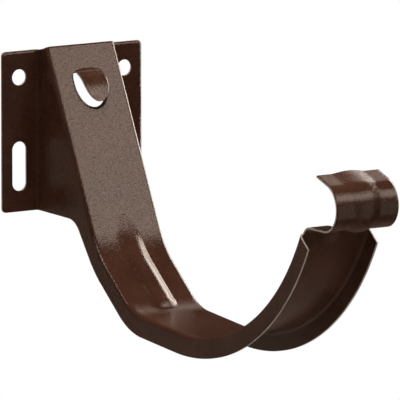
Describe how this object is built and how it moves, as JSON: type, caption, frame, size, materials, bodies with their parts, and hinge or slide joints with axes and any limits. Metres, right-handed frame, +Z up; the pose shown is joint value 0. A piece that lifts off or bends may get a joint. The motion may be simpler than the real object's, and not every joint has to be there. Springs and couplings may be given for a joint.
{
  "type": "gutter bracket",
  "caption": "Pressed sheet bracket with a screw-on hat-shaped back and a channel cradle that carries a half-round gutter and curls over its front bead.",
  "frame": {"origin": "on the wall, midway between the two round screw holes", "axes": "+X along the wall, +Y into the wall, +Z up; the part is symmetric about X = 0"},
  "size_m": [0.052, 0.1782, 0.0868],
  "materials": {
    "coating": "dark brown fine-grained polyester coat on galvanised sheet, satin"
  },
  "bodies": {
    "root": {"bracket": "coating"}
  },
  "joints": []
}
